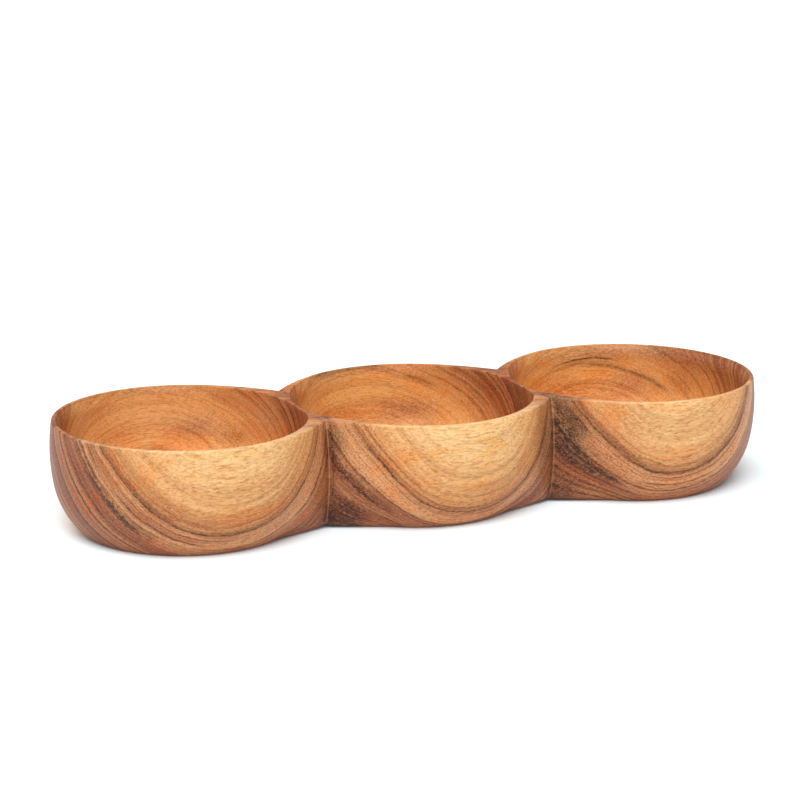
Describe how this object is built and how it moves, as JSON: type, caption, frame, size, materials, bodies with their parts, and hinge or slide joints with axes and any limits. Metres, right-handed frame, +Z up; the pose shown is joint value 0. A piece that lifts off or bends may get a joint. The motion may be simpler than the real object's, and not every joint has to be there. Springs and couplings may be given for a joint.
{
  "type": "divided serving bowl",
  "caption": "Long wooden serving dish of round bowls in a straight row, with thin shared dividers, grooves between the bowls and a flat foot.",
  "frame": {"origin": "on the floor under the centre of the middle bowl", "axes": "+X along the row towards the right bowl, +Y to the back, +Z up"},
  "size_m": [0.4334, 0.1514, 0.0635],
  "materials": {
    "oiled_wood": "satin oil over fine sanding"
  },
  "bodies": {
    "root": {"left_bowl": "oiled_wood", "middle_bowl": "oiled_wood", "right_bowl": "oiled_wood"}
  },
  "joints": []
}
